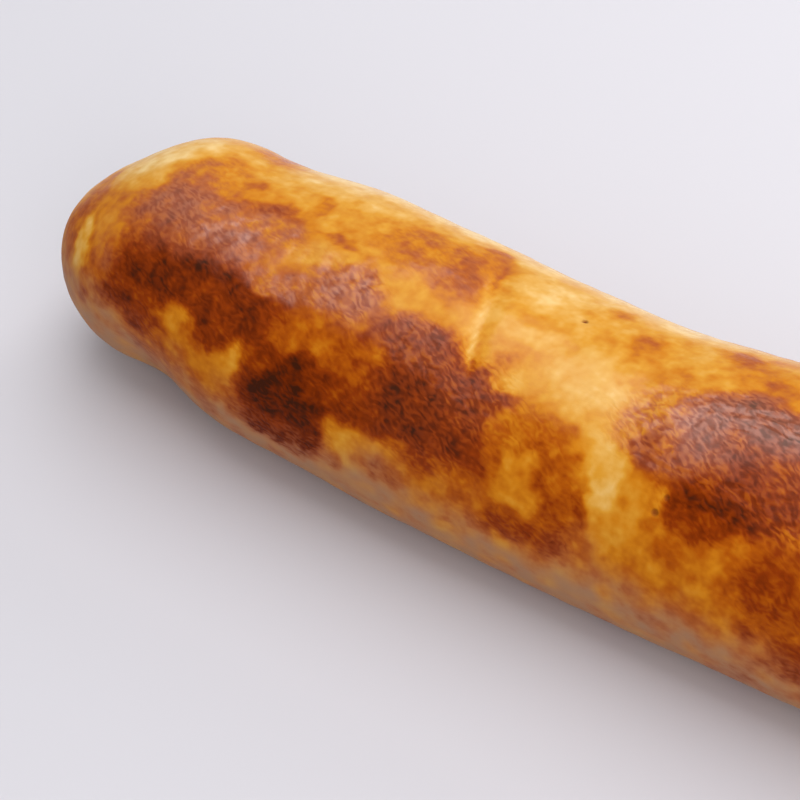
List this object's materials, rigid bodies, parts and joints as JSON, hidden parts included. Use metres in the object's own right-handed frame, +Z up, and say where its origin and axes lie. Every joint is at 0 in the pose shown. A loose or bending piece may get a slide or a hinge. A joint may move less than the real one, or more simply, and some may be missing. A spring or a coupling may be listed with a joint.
{
  "type": "stuffed feteer",
  "caption": "Long filled dough roll with rounded ends, folded shut and baked golden with dark brown patches, lying on its flat underside.",
  "frame": {"origin": "middle of the roll's outline, on the surface that it rests on", "axes": "+X along the roll from the left end to the right end, -Y towards the side with the drawn-in left end, +Z up through the browned top"},
  "size_m": [0.2924, 0.07, 0.058],
  "materials": {
    "crust": "satin"
  },
  "bodies": {
    "root": {"baked_roll": "crust"}
  },
  "joints": []
}
